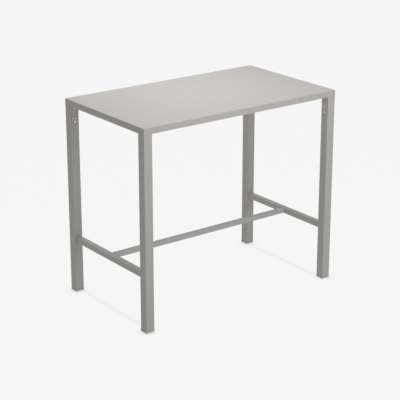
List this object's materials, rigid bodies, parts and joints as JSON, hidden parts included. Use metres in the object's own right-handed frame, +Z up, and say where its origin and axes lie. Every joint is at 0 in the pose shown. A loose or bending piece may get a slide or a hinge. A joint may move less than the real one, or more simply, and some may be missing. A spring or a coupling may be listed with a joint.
{
  "type": "standing meeting table",
  "caption": "Tall rectangular metal table for meeting at standing height: thin top with turned-down edges, square legs at its corners and an H-shaped foot rest of rails low down.",
  "frame": {"origin": "on the floor, below the middle of the table top", "axes": "+X along the long side of the top, +Y along the short side, +Z up"},
  "size_m": [1.275, 0.74, 1.107],
  "materials": {
    "coat": "satin",
    "stainless": "satin",
    "plastic": "matte",
    "nylon": "matte"
  },
  "bodies": {
    "root": {"top_panel": "coat", "frame_rail_front": "coat", "frame_rail_back": "coat", "frame_rail_left": "coat", "frame_rail_right": "coat", "cross_bar_1": "coat", "cross_bar_2": "coat", "cross_bar_3": "coat", "end_rail_left": "coat", "end_rail_right": "coat", "centre_rail": "coat", "corner_plate_front_left": "coat", "corner_plate_front_right": "coat", "corner_plate_back_left": "coat", "corner_plate_back_right": "coat", "corner_post_front_left": "coat", "corner_post_front_right": "coat", "corner_post_back_left": "coat", "corner_post_back_right": "coat", "leg_front_left": "coat", "leg_front_right": "coat", "leg_back_left": "coat", "leg_back_right": "coat", "foot_plug_front_left": "plastic", "foot_plug_front_right": "plastic", "foot_plug_back_left": "plastic", "foot_plug_back_right": "plastic", "foot_pad_front_left": "nylon", "foot_pad_front_right": "nylon", "foot_pad_back_left": "nylon", "foot_pad_back_right": "nylon", "post_bolt_x_front_left": "stainless", "post_bolt_x_front_right": "stainless", "post_bolt_x_back_left": "stainless", "post_bolt_x_back_right": "stainless", "post_bolt_y_front_left": "stainless", "post_bolt_y_front_right": "stainless", "post_bolt_y_back_left": "stainless", "post_bolt_y_back_right": "stainless", "weld_nut_x_front_left": "stainless", "weld_nut_x_front_right": "stainless", "weld_nut_x_back_left": "stainless", "weld_nut_x_back_right": "stainless", "weld_nut_y_front_left": "stainless", "weld_nut_y_front_right": "stainless", "weld_nut_y_back_left": "stainless", "weld_nut_y_back_right": "stainless", "leg_screw_x_front_left": "stainless", "leg_screw_x_front_right": "stainless", "leg_screw_x_back_left": "stainless", "leg_screw_x_back_right": "stainless", "leg_screw_y_front_left": "stainless", "leg_screw_y_front_right": "stainless", "leg_screw_y_back_left": "stainless", "leg_screw_y_back_right": "stainless"}
  },
  "joints": []
}
